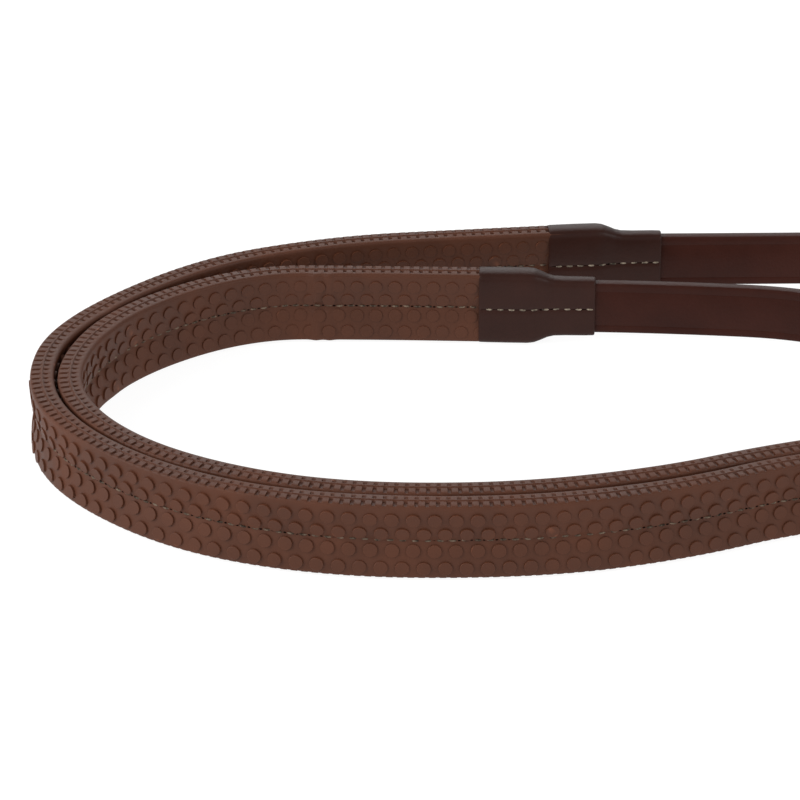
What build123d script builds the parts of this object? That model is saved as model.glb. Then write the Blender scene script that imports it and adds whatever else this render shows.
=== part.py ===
from build123d import *
import math
import os

# A pair of riding reins, laid out on edge in a nested loop. Each rein is a leather strap
# with a rubber hand grip round its middle. A hook stud billet ends it at the bit, and the
# two reins buckle together at the rider's hand. All sizes are in millimetres. The plan is
# drawn in its own coordinates, and ORIGIN, the middle of the whole plan, becomes 0, 0.
ORIGIN = (143.46, 16.54)

# Heights. Every piece is centred on the same height above the surface the reins lie on.
MIDDLE = 12.0
STRAP_WIDTH = 16.5
STRAP_THICK = 3.8
GRIP_WIDTH = 23.0
GRIP_THICK = 6.4
GAP = 0.05  # room round a strap inside the rubber or a sleeve

# The end sleeves: a narrow part on the strap, a step, and a wide part over the rubber.
SLEEVE_NARROW = (13.0, 18.9, 5.6)  # length, width, thickness
SLEEVE_STEP = (5.5, 21.4, 6.9)
SLEEVE_WIDE = (17.0, 24.0, 8.0)
STRAP_IN_STEP = 5.7  # bare strap between the narrow part and the end of the rubber

# Lengths along each rein.
GRIP_LENGTH = 732.6
LEFT_HAND_LENGTH = 371.0  # point tip to the start of its first sleeve
RIGHT_HAND_LENGTH = 356.8  # buckle end to the start of its first sleeve

# Sewing thread, drawn as one flat line for each row.
THREAD_WIDTH = 0.9
THREAD_PROUD = 0.25
SEAM_DEPTH = 0.5

# The billet: a backing strip, the loop round the bit ring, and the tail over the strap.
BILLET_THICK = 3.0
BILLET_BACKING = 95.0
BILLET_TAIL = 80.0
BIT_LOOP_RADIUS = 8.0  # middle of the leather
BIT_LOOP_NECK = 15.3  # bend radius where the leather spreads into the loop
TAIL_AIR = 0.2
ROW_INSET = 2.2  # sewn rows lie this far inside the edges of the leather
HOOK_BACK = 52.0  # hook stud, measured back from the end of the strap
HOOK_STEM = (2.4, 5.0)
HOOK_PLATE = (14.0, 10.0, 0.9)
HOOK_HEAD = (9.0, 6.0, 1.8)
HOOK_CORNER = 2.4
HOOK_PLATE_IN = 0.3  # depth of the plate in the backing
HOOK_FIT = 0.1  # room on each side of the stem in the strap
STEM_ROOM = (0.6, 0.4)  # room round the stem in the tail
PLATE_ROOM = 0.4
BUTTON_SLIT = 1.0
THROUGH = 8.0  # depth of a cutting block that goes through one strap
KEEPER_LENGTH = 9.0
KEEPER_ROOM = 0.3  # above and below the straps
KEEPER_WALL = 1.6
KEEPERS_BACK = (24.0, 68.0)

# The buckle that joins the two reins.
HEEL_GAP = 5.0  # from the centre of the heel bar to the end of the right strap
HEEL_RADIUS = 1.7
FOLD_INSIDE = STRAP_THICK / 2
CHAPE_THICK = 2.0
CHAPE_LENGTH = 40.0
SLOT_HEIGHT = 4.4
FRONT_BAR = (24.0, -9.9)
FRONT_RADIUS = 1.6
SIDE_BAR_WIDTH = 5.2
FRAME_HEIGHT = 23.6
SIDE_BAR_HEIGHT = 3.0
PRONG_EYE = (1.8, 3.2)
PRONG_EYE_HEIGHT = 3.6
PRONG_PATH = [(1.4, -2.6), (5.2, -10.2), (26.5, -13.2)]
PRONG_BEND = 4.5
PRONG_THICK = 2.3
PRONG_HEIGHT = 2.6
POINT_OFFSET = 6.1  # middle of the point strap from the middle of the buckle strap
HOLE_LENGTH = 8.4
HOLE_HEIGHT = 3.4
HOLE_FIRST = 65.8  # the hole in use, measured from the point's tip
HOLE_PITCH = 20.0
FIXED_KEEPER = 8.0  # start of the fixed keeper along the right rein
RUNNER = 27.0
BUCKLE_KEEPER_LENGTH = 8.0
BUCKLE_KEEPER_WALL = 1.5

# Routes of the two straps in plan. The left one starts at its point, the right one at the
# buckle, and both end at the bit.
LEFT_ROUTE = [
    (306.9, -48.4), (314.55, -18.3), (321.5, 15), (327, 49), (312.5, 83), (280, 101),
    (240, 95), (198, 83), (154, 76.5), (110, 75.5), (66, 75), (22, 70.5), (-22, 65),
    (-63, 48), (-100.5, 5.5), (-105.5, -32), (-92, -63), (-60.5, -90.5), (-20, -104),
    (33, -105), (76, -95.5), (114, -77.5), (158, -71), (205, -84), (252, -102),
    (304, -108), (352, -88), (384, -47), (394, 3), (387, 50), (364, 87), (336, 112),
    (312, 125),
]
RIGHT_ROUTE = [
    (314, 9), (308.5, -17), (301.5, -46), (275.5, -72.5), (239, -78), (205.5, -61),
    (186, -27), (165, 7), (130, 35.2), (80, 40.5), (36, 42), (-10, 43.5), (-47, 44),
    (-84.5, 15.5), (-98, -22), (-90, -52), (-63.5, -79.5), (-20, -96.5), (30, -97),
    (71, -88), (105, -73.5), (152, -59.5), (198, -70), (246, -90), (298, -97),
    (342, -80), (370, -43), (378, 2), (368, 44), (341, 79), (306, 102), (270, 114),
    (237, 118.5), (205, 121.5),
]
ARC_SHARE = 0.45  # each corner's arc takes this share of the shorter run beside it


class Route:
    """A path in plan made of straight runs and tangent arcs."""

    def __init__(self, start, heading):
        self.pieces = []
        self.end = (start[0], start[1], heading)

    def go(self, length, turn=0.0):
        """Add a stretch that turns evenly by an angle in radians, left being positive."""
        x, y, heading = self.end
        curve = turn / length
        self.pieces.append((x, y, heading, curve, length))
        self.end = self.walk(self.pieces[-1], length)
        return self

    @staticmethod
    def walk(piece, along):
        x, y, heading, curve, _ = piece
        after = heading + curve * along
        if curve == 0.0:
            return x + along * math.cos(heading), y + along * math.sin(heading), after
        east = (math.sin(after) - math.sin(heading)) / curve
        north = (math.cos(heading) - math.cos(after)) / curve
        return x + east, y + north, after

    @property
    def length(self):
        return sum(piece[4] for piece in self.pieces)

    def at(self, along, aside=0.0):
        """The point at a distance along the path, moved aside to its left, and the heading."""
        for piece in self.pieces:
            if along <= piece[4] or piece is self.pieces[-1]:
                x, y, heading = self.walk(piece, along)
                return x - aside * math.sin(heading), y + aside * math.cos(heading), heading
            along -= piece[4]

    def edges(self, start, stop, aside):
        """Lines and arcs that run beside the path from start to stop."""
        made = []
        before = 0.0
        for piece in self.pieces:
            after = before + piece[4]
            low = start if start < 0.0 == before else max(start, before)
            high = min(stop, after)
            if high - low > 0.001:
                ends = [self.at(s, aside)[:2] for s in (low, (low + high) / 2, high)]
                if piece[3] == 0.0:
                    made.append(Line(ends[0], ends[2]))
                else:
                    made.append(ThreePointArc(*ends))
            before = after
        return made


def route_through(points):
    """Round the corners of a list of points with tangent arcs, as wide as its runs allow."""
    runs = [math.dist(a, b) for a, b in zip(points, points[1:])]
    headings = [math.atan2(b[1] - a[1], b[0] - a[0]) for a, b in zip(points, points[1:])]
    route = Route(points[0], headings[0])
    used = 0.0
    radii = []
    for i in range(1, len(runs)):
        turn = math.remainder(headings[i] - headings[i - 1], math.tau)
        reach = ARC_SHARE * min(runs[i - 1], runs[i])
        radius = reach / math.tan(abs(turn) / 2)
        route.go(runs[i - 1] - used - reach)
        route.go(radius * abs(turn), turn)
        radii.append(radius)
        used = reach
    route.go(runs[-1] - used)
    return route, radii


def band(route, start, stop, inner, outer, width):
    """A strip of leather or rubber on edge, between two lines beside the route."""
    near = route.edges(start, stop, inner)
    far = route.edges(start, stop, outer)
    caps = [Line(near[0] @ 0, far[0] @ 0), Line(near[-1] @ 1, far[-1] @ 1)]
    outline = make_face([*near, *far, *caps])
    return Pos(0, 0, MIDDLE - width / 2) * extrude(outline, width, dir=(0, 0, 1))


def frame_at(route, along, aside=0.0):
    """A place on the route: x runs along it, y to its left, z up from the middle height."""
    x, y, heading = route.at(along, aside)
    return Location((x, y, MIDDLE), (0, 0, math.degrees(heading)))


def oval_cut(place, length, height, depth):
    """A hole with round ends that goes through a strap from side to side."""
    outline = Rot(90, 0, 0) * SlotOverall(length, height)
    return place * extrude(outline, depth / 2, both=True)


def strap(route):
    """The whole leather strap, from the hand end to the bit."""
    half = STRAP_THICK / 2
    return band(route, 0, route.length, -half, half, STRAP_WIDTH)


def cavity(route, start, stop, width, thick):
    """The room that a strap or a grip takes inside another piece."""
    half = thick / 2 + GAP
    return band(route, start, stop, -half, half, width + 2 * GAP)


def grip(route, start):
    """The rubber sleeve, with a sunk line on each face for its seam."""
    stop = start + GRIP_LENGTH
    half = GRIP_THICK / 2
    rubber = band(route, start, stop, -half, half, GRIP_WIDTH)
    rubber -= cavity(route, start, stop, STRAP_WIDTH, STRAP_THICK)
    for side in (-1, 1):
        lines = sorted((side * (half - SEAM_DEPTH), side * half))
        rubber -= band(route, start, stop, *lines, THREAD_WIDTH + 2 * GAP)
    return rubber


def seam_thread(route, start, stop):
    """The two rows of stitches that close the rubber, one in each sunk line."""
    rows = []
    for side in (-1, 1):
        deep = GRIP_THICK / 2 - SEAM_DEPTH + GAP
        lines = sorted((side * deep, side * (deep + THREAD_PROUD)))
        rows.append(band(route, start, stop, *lines, THREAD_WIDTH))
    return rows


def sleeve_stations(end, towards):
    """Where a sleeve's three parts begin and stop. towards is 1 where the grip follows."""
    stations = []
    here = end
    for length, width, thick in (SLEEVE_NARROW, SLEEVE_STEP, SLEEVE_WIDE):
        there = here + towards * length
        stations.append((min(here, there), max(here, there), width, thick))
        here = there
    return stations


def sleeve(route, end, towards):
    """A leather sleeve over the end of the rubber and on to the strap."""
    stations = sleeve_stations(end, towards)
    made = None
    for start, stop, width, thick in stations:
        part = band(route, start, stop, -thick / 2, thick / 2, width)
        made = part if made is None else made + part
    low = min(s[0] for s in stations)
    high = max(s[1] for s in stations)
    made -= cavity(route, low, high, STRAP_WIDTH, STRAP_THICK)
    rubber_from = end + towards * (SLEEVE_NARROW[0] + STRAP_IN_STEP)
    rubber_to = high if towards > 0 else low
    lines = sorted((rubber_from, rubber_to))
    made -= cavity(route, *lines, GRIP_WIDTH, GRIP_THICK)
    return made


def sleeve_thread(route, end, towards):
    """Rows of stitches along the middle of a sleeve, on both faces."""
    rows = []
    for start, stop, _, thick in sleeve_stations(end, towards)[::2]:
        for side in (-1, 1):
            lines = sorted((side * thick / 2, side * (thick / 2 + THREAD_PROUD)))
            rows.append(band(route, start, stop, *lines, THREAD_WIDTH))
    return rows


def bit_loop(route):
    """The middle line of the billet's loop, from the backing round to the tail."""
    x, y, heading = route.at(route.length, STRAP_THICK / 2 + BILLET_THICK / 2)
    backing = STRAP_THICK / 2 + BILLET_THICK / 2
    tail = backing + TAIL_AIR
    spread = (2 * BIT_LOOP_RADIUS - backing - tail) / 2
    lean = math.acos(1 - spread / (2 * BIT_LOOP_NECK))
    bend = BIT_LOOP_NECK * lean
    loop = Route((x, y), heading)
    loop.go(bend, lean).go(bend, -lean)
    loop.go(math.pi * BIT_LOOP_RADIUS, -math.pi)
    loop.go(bend, -lean).go(bend, lean)
    return loop


def billet(route):
    """The leather that folds round the bit ring, with the slit that buttons on the hook."""
    end = route.length
    inside = STRAP_THICK / 2
    outside = -inside - TAIL_AIR
    made = band(route, end - BILLET_BACKING, end, inside, inside + BILLET_THICK, STRAP_WIDTH)
    loop = bit_loop(route)
    half = BILLET_THICK / 2
    made += band(loop, 0, loop.length, -half, half, STRAP_WIDTH)
    made += band(route, end - BILLET_TAIL, end, outside - BILLET_THICK, outside, STRAP_WIDTH)
    place = frame_at(route, end - HOOK_BACK)
    stem, height = HOOK_STEM
    tail = outside - BILLET_THICK / 2
    made -= place * Pos(0, tail, 0) * Box(stem + STEM_ROOM[0], THROUGH / 2, height + STEM_ROOM[1])
    made -= place * Pos(-HOOK_HEAD[0] / 2, tail, 0) * Box(HOOK_HEAD[0], THROUGH / 2, BUTTON_SLIT)
    length, width, thick = HOOK_PLATE
    pocket = Box(length + PLATE_ROOM, 2 * (thick + HOOK_PLATE_IN + GAP), width + PLATE_ROOM)
    return made - place * Pos(0, inside, 0) * pocket


def hook_stud(route):
    """A plate between strap and backing, a stem through both, and a hook over the tail."""
    place = frame_at(route, route.length - HOOK_BACK)
    stem, height = HOOK_STEM
    length, width, thick = HOOK_PLATE
    head, head_width, head_thick = HOOK_HEAD
    over = STRAP_THICK / 2 + TAIL_AIR + BILLET_THICK + TAIL_AIR
    plate_at = STRAP_THICK / 2 + HOOK_PLATE_IN
    plate = Pos(0, plate_at + thick / 2, 0) * Box(length, thick, width)
    shaft = Pos(0, (plate_at - over) / 2, 0) * Box(stem, plate_at + over, height)
    hook = Pos(-head / 2 + stem / 2, -over - head_thick / 2, 0) * Box(head, head_thick, head_width)
    hook = fillet(hook.edges().filter_by(Axis.Y), HOOK_CORNER)
    return place * (plate + shaft + hook)


def strap_with_hook_slot(solid, route):
    """The strap with the slot that the hook's stem goes through."""
    place = frame_at(route, route.length - HOOK_BACK)
    return solid - place * Box(HOOK_STEM[0] + 2 * HOOK_FIT, THROUGH, HOOK_STEM[1] + 2 * HOOK_FIT)


def keeper(route, start, length, inner, outer, wall):
    """A leather loop round a stack of straps."""
    room = STRAP_WIDTH + 2 * KEEPER_ROOM
    made = band(route, start, start + length, inner - wall, outer + wall, room + 2 * wall)
    return made - band(route, start, start + length, inner, outer, room)


def billet_keeper(route, back):
    """One of the two loops that hold the billet's tail down."""
    inner = -(STRAP_THICK / 2 + TAIL_AIR + BILLET_THICK + 0.2)
    outer = STRAP_THICK / 2 + BILLET_THICK + THREAD_PROUD + 0.1
    start = route.length - back - KEEPER_LENGTH / 2
    return keeper(route, start, KEEPER_LENGTH, inner, outer, KEEPER_WALL)


def sewn_rows(route, start, stop, face, side):
    """Two rows of stitches near the edges of a strap, on one of its faces."""
    lines = sorted((face, face + side * THREAD_PROUD))
    rise = STRAP_WIDTH / 2 - ROW_INSET
    row = band(route, start, stop, *lines, THREAD_WIDTH)
    return [Pos(0, 0, -rise) * row, Pos(0, 0, rise) * row]


def billet_thread(route):
    end = route.length
    face = STRAP_THICK / 2 + BILLET_THICK
    return sewn_rows(route, end - BILLET_BACKING + 3, end - 4, face, 1)


def chape(route):
    """The fold of leather that holds the heel bar, sewn over the end of the strap."""
    near, far = FOLD_INSIDE, FOLD_INSIDE + CHAPE_THICK
    made = band(route, -HEEL_GAP, CHAPE_LENGTH, near, far, STRAP_WIDTH)
    made += band(route, -HEEL_GAP, CHAPE_LENGTH, -far, -near, STRAP_WIDTH)
    heel = frame_at(route, -HEEL_GAP)
    ring = Cylinder(far, STRAP_WIDTH) - Cylinder(near, STRAP_WIDTH)
    made += heel * (ring - Pos(far, 0, 0) * Box(2 * far, 2 * far + 1, STRAP_WIDTH))
    return made - heel * Box(2 * far + 0.6, 2 * far + 0.6, SLOT_HEIGHT)


def buckle_place(route):
    """The heel bar's place, with x towards the front bar and y to the inside of the loop."""
    x, y, heading = route.at(-HEEL_GAP)
    return Location((x, y, MIDDLE), (0, 0, math.degrees(heading) + 180))


def buckle_frame(place):
    """Heel bar, front bar and the two side bars above and below the straps."""
    lean = math.degrees(math.atan2(FRONT_BAR[1], FRONT_BAR[0]))
    reach = math.hypot(*FRONT_BAR)
    middle = (FRONT_BAR[0] / 2, FRONT_BAR[1] / 2)
    side = extrude(SlotCenterToCenter(reach, SIDE_BAR_WIDTH), SIDE_BAR_HEIGHT / 2, both=True)
    side = Pos(*middle, 0) * Rot(0, 0, lean) * fillet(side.edges(), 0.9)
    rise = (FRAME_HEIGHT - SIDE_BAR_HEIGHT) / 2
    bars = Cylinder(HEEL_RADIUS, FRAME_HEIGHT - SIDE_BAR_HEIGHT)
    bars += Pos(*FRONT_BAR, 0) * Cylinder(FRONT_RADIUS, FRAME_HEIGHT - SIDE_BAR_HEIGHT)
    return place * (bars + Pos(0, 0, rise) * side + Pos(0, 0, -rise) * side)


def prong_arm():
    """The prong's middle line: out of its eye, round a bend and over the front bar."""
    start, corner, tip = PRONG_PATH
    rise = math.atan2(corner[1] - start[1], corner[0] - start[0])
    rest = math.atan2(tip[1] - corner[1], tip[0] - corner[0])
    reach = PRONG_BEND * math.tan((rest - rise) / 2)
    arm = Route(start, rise)
    arm.go(math.dist(start, corner) - reach)
    arm.go(PRONG_BEND * (rest - rise), rest - rise)
    return arm.go(math.dist(corner, tip) - reach)


def buckle_prong(place):
    """An eye that turns on the heel bar and a bent arm that rests on the front bar."""
    inner, outer = PRONG_EYE
    eye = Cylinder(outer, PRONG_EYE_HEIGHT)
    arm = prong_arm()
    half = PRONG_THICK / 2
    bar = Pos(0, 0, -MIDDLE) * band(arm, 0, arm.length, -half, half, PRONG_HEIGHT)
    tip = Pos(*PRONG_PATH[-1], 0) * Cylinder(half, PRONG_HEIGHT)
    return place * (eye + bar + tip - Cylinder(inner, PRONG_EYE_HEIGHT + 1))


def punch_holes(solid, route):
    """Five holes along the point, the middle one in use."""
    for number in (-2, -1, 0, 1, 2):
        place = frame_at(route, HOLE_FIRST + number * HOLE_PITCH)
        solid -= oval_cut(place, HOLE_LENGTH, HOLE_HEIGHT, 3 * STRAP_THICK)
    return solid


def write(name, shape):
    """Write one node, moved so that the middle of the plan is the origin."""
    solids = shape if isinstance(shape, list) else shape.solids()
    moved = Pos(-ORIGIN[0], -ORIGIN[1], 0) * Compound(children=[s for s in solids])
    export_step(moved, os.path.join("parts", name + ".step"))


def make_rein(side, route, hand_length):
    """The pieces that both reins have: grip, sleeves, threads and the bit end."""
    grip_start = hand_length + SLEEVE_NARROW[0] + STRAP_IN_STEP
    grip_stop = grip_start + GRIP_LENGTH
    far_end = grip_stop + SLEEVE_NARROW[0] + STRAP_IN_STEP
    wide = sum(part[0] for part in (SLEEVE_NARROW, SLEEVE_STEP, SLEEVE_WIDE))
    write(side + "_rubber_grip", grip(route, grip_start))
    write(side + "_seam_thread", seam_thread(route, hand_length + wide, far_end - wide))
    write(side + "_hand_sleeve", sleeve(route, hand_length, 1))
    write(side + "_bit_sleeve", sleeve(route, far_end, -1))
    rows = sleeve_thread(route, hand_length, 1) + sleeve_thread(route, far_end, -1)
    write(side + "_sleeve_thread", rows)
    write(side + "_billet", billet(route))
    write(side + "_billet_thread", billet_thread(route))
    write(side + "_hook_stud", hook_stud(route))
    for name, back in zip(("_ring_keeper", "_tail_keeper"), KEEPERS_BACK):
        write(side + name, billet_keeper(route, back))


def make_buckle(route):
    """The pieces that join the reins at the rider's hand."""
    place = buckle_place(route)
    write("buckle_chape", chape(route))
    write("chape_thread", sewn_rows(route, 2, CHAPE_LENGTH - 3, -FOLD_INSIDE - CHAPE_THICK, -1))
    write("buckle_frame", buckle_frame(place))
    write("buckle_prong", buckle_prong(place))
    inner = -(FOLD_INSIDE + CHAPE_THICK + THREAD_PROUD + 0.3)
    outer = POINT_OFFSET + STRAP_THICK / 2 + 0.4
    for name, start in (("fixed_keeper", FIXED_KEEPER), ("runner", RUNNER)):
        write(name, keeper(route, start, BUCKLE_KEEPER_LENGTH, inner, outer, BUCKLE_KEEPER_WALL))


def main():
    os.makedirs("parts", exist_ok=True)
    left, left_radii = route_through(LEFT_ROUTE)
    right, right_radii = route_through(RIGHT_ROUTE)
    left_strap = punch_holes(strap_with_hook_slot(strap(left), left), left)
    write("left_rein_strap", left_strap)
    write("right_rein_strap", strap_with_hook_slot(strap(right), right))
    make_rein("left", left, LEFT_HAND_LENGTH)
    make_rein("right", right, RIGHT_HAND_LENGTH)
    make_buckle(right)
    for name, route, radii in (("left", left, left_radii), ("right", right, right_radii)):
        print(name, "length", round(route.length, 1), "radii", [round(r) for r in radii])
        ideal = route.length * STRAP_WIDTH * STRAP_THICK
        print(name, "strap volume over section times length", round(strap(route).volume / ideal, 4))


main()
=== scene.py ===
import math

import bmesh
import bpy
import numpy as np
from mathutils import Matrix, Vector


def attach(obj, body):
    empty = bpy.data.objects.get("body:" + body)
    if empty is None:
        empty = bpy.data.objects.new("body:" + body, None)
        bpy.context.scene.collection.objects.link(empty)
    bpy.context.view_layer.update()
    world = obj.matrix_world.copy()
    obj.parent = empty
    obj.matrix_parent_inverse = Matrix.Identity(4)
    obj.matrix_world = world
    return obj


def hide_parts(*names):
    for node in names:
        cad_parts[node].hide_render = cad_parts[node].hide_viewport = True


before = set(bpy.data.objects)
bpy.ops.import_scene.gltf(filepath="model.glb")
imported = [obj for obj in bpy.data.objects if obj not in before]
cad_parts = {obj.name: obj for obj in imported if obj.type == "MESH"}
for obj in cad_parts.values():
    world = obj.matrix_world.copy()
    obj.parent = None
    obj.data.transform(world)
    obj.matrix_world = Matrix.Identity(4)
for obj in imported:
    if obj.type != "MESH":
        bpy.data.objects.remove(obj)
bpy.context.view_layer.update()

# A pair of riding reins on edge in a nested loop. Lengths are in metres. Along the reins,
# "along" is the distance from the hand end, "aside" is to the left of the rein's heading
# and "up" is measured from the middle height that every piece is centred on.
MM = 0.001
MIDDLE = 12.0 * MM
PLAN_ORIGIN = Vector((0.14346, 0.01654, 0.0))
UP = np.array([0.0, 0.0, 1.0])
ROOT = "reins"

# The camera looks down at the surface from the front, through a long lens.
CAMERA_TARGET = Vector((0.0, 0.0, 0.8 * MM)) - PLAN_ORIGIN
CAMERA_DISTANCE = 1.210
CAMERA_ELEVATION = math.radians(27.0)
CAMERA_LENS = 183.0

STRAP_WIDTH = 16.5 * MM
STRAP_THICK = 3.8 * MM
GRIP_LENGTH = 732.6 * MM
SLEEVE_LENGTH = 35.5 * MM
BARE_END = 18.7 * MM  # from the narrow end of a sleeve to the end of the rubber
HAND_LENGTH = {"left": 371.0 * MM, "right": 356.8 * MM}  # from a strap's end to its first sleeve
BILLET_THICK = 3.0 * MM
BILLET_BACKING = 95.0 * MM
BILLET_TAIL = 80.0 * MM
BIT_LOOP_RADIUS = 8.0 * MM
BIT_LOOP_NECK = 15.3 * MM
TAIL_AIR = 0.2 * MM
HOOK_BACK = 52.0 * MM
SLIT_LENGTH, SLIT_HEIGHT, SLIT_AHEAD = 11.5 * MM, 1.5 * MM, 3.6 * MM  # where the hook buttons in
TAIL_ROUND = 8.0 * MM
KEEPERS_BACK = {"ring_keeper": 24.0 * MM, "tail_keeper": 68.0 * MM}
KEEPER_LENGTH = 9.0 * MM
KEEPER_WALL = 1.6 * MM
KEEPER_AIR_IN, KEEPER_AIR_OUT = 0.2 * MM, 0.35 * MM
HEEL_GAP = 5.0 * MM
CHAPE_THICK = 2.0 * MM
CHAPE_LENGTH = 40.0 * MM
POINT_OFFSET = 6.1 * MM
HOLE_FIRST = 65.8 * MM
HOLE_PITCH = 20.0 * MM
HOLE_LENGTH, HOLE_HEIGHT = 8.4 * MM, 3.4 * MM
CHAPE_SLOT_LENGTH, CHAPE_SLOT_HEIGHT, CHAPE_SLOT_DEPTH = 8.4 * MM, 4.4 * MM, 12.0 * MM
POINT_ROUND = 10.0 * MM
RUNNER_LENGTH = 8.0 * MM
RUNNER_WALL = 1.5 * MM
RUNNER_AIR_IN, RUNNER_AIR_OUT = 0.55 * MM, 0.4 * MM
RUNNERS = {"fixed_keeper": 8.0 * MM, "runner": 27.0 * MM}

# The routes of the two straps, from the hand end to the bit.
LEFT_ROUTE = [
    (0.3069, -0.0484), (0.31455, -0.0183), (0.3215, 0.015), (0.327, 0.049),
    (0.3125, 0.083), (0.280, 0.101), (0.240, 0.095), (0.198, 0.083), (0.154, 0.0765),
    (0.110, 0.0755), (0.066, 0.075), (0.022, 0.0705), (-0.022, 0.065), (-0.063, 0.048),
    (-0.1005, 0.0055), (-0.1055, -0.032), (-0.092, -0.063), (-0.0605, -0.0905),
    (-0.020, -0.104), (0.033, -0.105), (0.076, -0.0955), (0.114, -0.0775),
    (0.158, -0.071), (0.205, -0.084), (0.252, -0.102), (0.304, -0.108),
    (0.352, -0.088), (0.384, -0.047), (0.394, 0.003), (0.387, 0.050), (0.364, 0.087),
    (0.336, 0.112), (0.312, 0.125),
]
RIGHT_ROUTE = [
    (0.314, 0.009), (0.3085, -0.017), (0.3015, -0.046), (0.2755, -0.0725),
    (0.239, -0.078), (0.2055, -0.061), (0.186, -0.027), (0.165, 0.007), (0.130, 0.0352),
    (0.080, 0.0405), (0.036, 0.042), (-0.010, 0.0435), (-0.047, 0.044),
    (-0.0845, 0.0155), (-0.098, -0.022), (-0.090, -0.052), (-0.0635, -0.0795),
    (-0.020, -0.0965), (0.030, -0.097), (0.071, -0.088), (0.105, -0.0735),
    (0.152, -0.0595), (0.198, -0.070), (0.246, -0.090), (0.298, -0.097),
    (0.342, -0.080), (0.370, -0.043), (0.378, 0.002), (0.368, 0.044), (0.341, 0.079),
    (0.306, 0.102), (0.270, 0.114), (0.237, 0.1185), (0.205, 0.1215),
]

SHARP_EDGE = math.radians(35.0)
SOFT_EDGE = math.radians(50.0)
THREAD_EDGE = math.radians(60.0)
METAL_EDGE = math.radians(30.0)
ARC_POINTS = 25


# ---------------------------------------------------------------- paths and meshes


def smooth_line(route):
    """Points along the NURBS spline whose control points are the route's."""
    curve = bpy.data.curves.new("route", "CURVE")
    curve.dimensions = "3D"
    spline = curve.splines.new("NURBS")
    spline.points.add(len(route) - 1)
    for knot, (x, y) in zip(spline.points, route):
        knot.co = (*(Vector((x, y, MIDDLE)) - PLAN_ORIGIN), 1.0)
    spline.order_u = 3
    spline.use_endpoint_u = True
    spline.resolution_u = 48
    holder = bpy.data.objects.new("route", curve)
    bpy.context.scene.collection.objects.link(holder)
    bpy.context.view_layer.update()
    mesh = bpy.data.meshes.new_from_object(holder)
    line = np.array([vertex.co for vertex in mesh.vertices])
    bpy.data.objects.remove(holder)
    bpy.data.curves.remove(curve)
    bpy.data.meshes.remove(mesh)
    return line


class Path:
    """A line in plan that can be read at any distance along it."""

    def __init__(self, line):
        steps = np.linalg.norm(np.diff(line, axis=0), axis=1)
        keep = np.concatenate([[True], steps > 1e-7])
        self.line = line[keep]
        steps = np.linalg.norm(np.diff(self.line, axis=0), axis=1)
        self.along = np.concatenate([[0.0], np.cumsum(steps)])
        self.length = float(self.along[-1])
        slope = np.gradient(self.line, self.along, axis=0)
        self.heading = np.unwrap(np.arctan2(slope[:, 1], slope[:, 0]))

    def at(self, along):
        """Places, directions ahead and directions aside. Past its ends the path is straight."""
        along = np.atleast_1d(np.asarray(along, float))
        inside = np.clip(along, 0.0, self.length)
        place = np.stack([np.interp(inside, self.along, axis) for axis in self.line.T], axis=1)
        heading = np.interp(inside, self.along, self.heading)
        ahead = np.stack([np.cos(heading), np.sin(heading), 0 * heading], axis=1)
        aside = np.stack([-np.sin(heading), np.cos(heading), 0 * heading], axis=1)
        return place + (along - inside)[:, None] * ahead, ahead, aside

    def beside(self, start, stop, aside, step=2.0 * MM):
        """Points of a line that runs beside this path, from start to stop."""
        count = max(3, int(abs(stop - start) / step) + 1)
        place, _, left = self.at(np.linspace(start, stop, count))
        return place + aside * left


def spaced(start, stop, step):
    """Evenly spaced distances from start to stop, about a step apart."""
    return np.linspace(start, stop, max(2, int(round(abs(stop - start) / step)) + 1))


def smoothstep(low, high, value):
    """A share that eases from 0 at low to 1 at high."""
    share = np.clip((value - low) / (high - low), 0.0, 1.0)
    return share * share * (3.0 - 2.0 * share)


def sweep(path, stations, sections):
    """Carry outlines of (aside, up) points along a path, one outline for each station."""
    place, _, aside = path.at(stations)
    sections = np.broadcast_to(sections, (len(stations), *np.shape(sections)[-2:]))
    points = place[:, None] + sections[..., :1] * aside[:, None] + sections[..., 1:] * UP
    return points.reshape(-1, 3), tube_faces(len(stations), sections.shape[1])


def tube_faces(rings, around):
    """Faces of a closed outline's rings, with a lid on each end."""
    grid = np.arange(rings * around).reshape(rings, around)
    here, ahead = grid[:-1], grid[1:]
    quads = np.stack([here, np.roll(here, -1, 1), np.roll(ahead, -1, 1), ahead], axis=-1)
    return quads.reshape(-1, 4).tolist() + [grid[0][::-1].tolist(), grid[-1].tolist()]


def repeated(faces, points_each, count):
    """The faces of one shape, again for each copy of its points."""
    return [[index + copy * points_each for index in side] for copy in range(count) for side in faces]


def joined(parts):
    """Several sets of vertices and faces as one."""
    vertices, faces, before = [], [], 0
    for points, sides in parts:
        vertices.append(points)
        faces += [[index + before for index in side] for side in sides]
        before += len(points)
    return np.concatenate(vertices), faces


def make_mesh(name, vertices, faces, sharp=SHARP_EDGE):
    """A mesh object with its faces turned outwards and shaded smooth between sharp edges."""
    mesh = bpy.data.meshes.new(name)
    mesh.from_pydata(vertices.tolist(), [], faces)
    shape = bmesh.new()
    shape.from_mesh(mesh)
    bmesh.ops.recalc_face_normals(shape, faces=shape.faces)
    shape.to_mesh(mesh)
    shape.free()
    piece = bpy.data.objects.new(name, mesh)
    bpy.context.scene.collection.objects.link(piece)
    mesh.shade_smooth()
    mesh.set_sharp_from_angle(angle=sharp)
    return piece


def finish_piece(piece, material, body=ROOT, stands_for=()):
    """Give a piece its material, attach it to the body it moves with, and hide the parts it stands for."""
    piece.data.materials.append(material)
    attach(piece, body)
    if stands_for:
        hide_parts(*stands_for)


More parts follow.
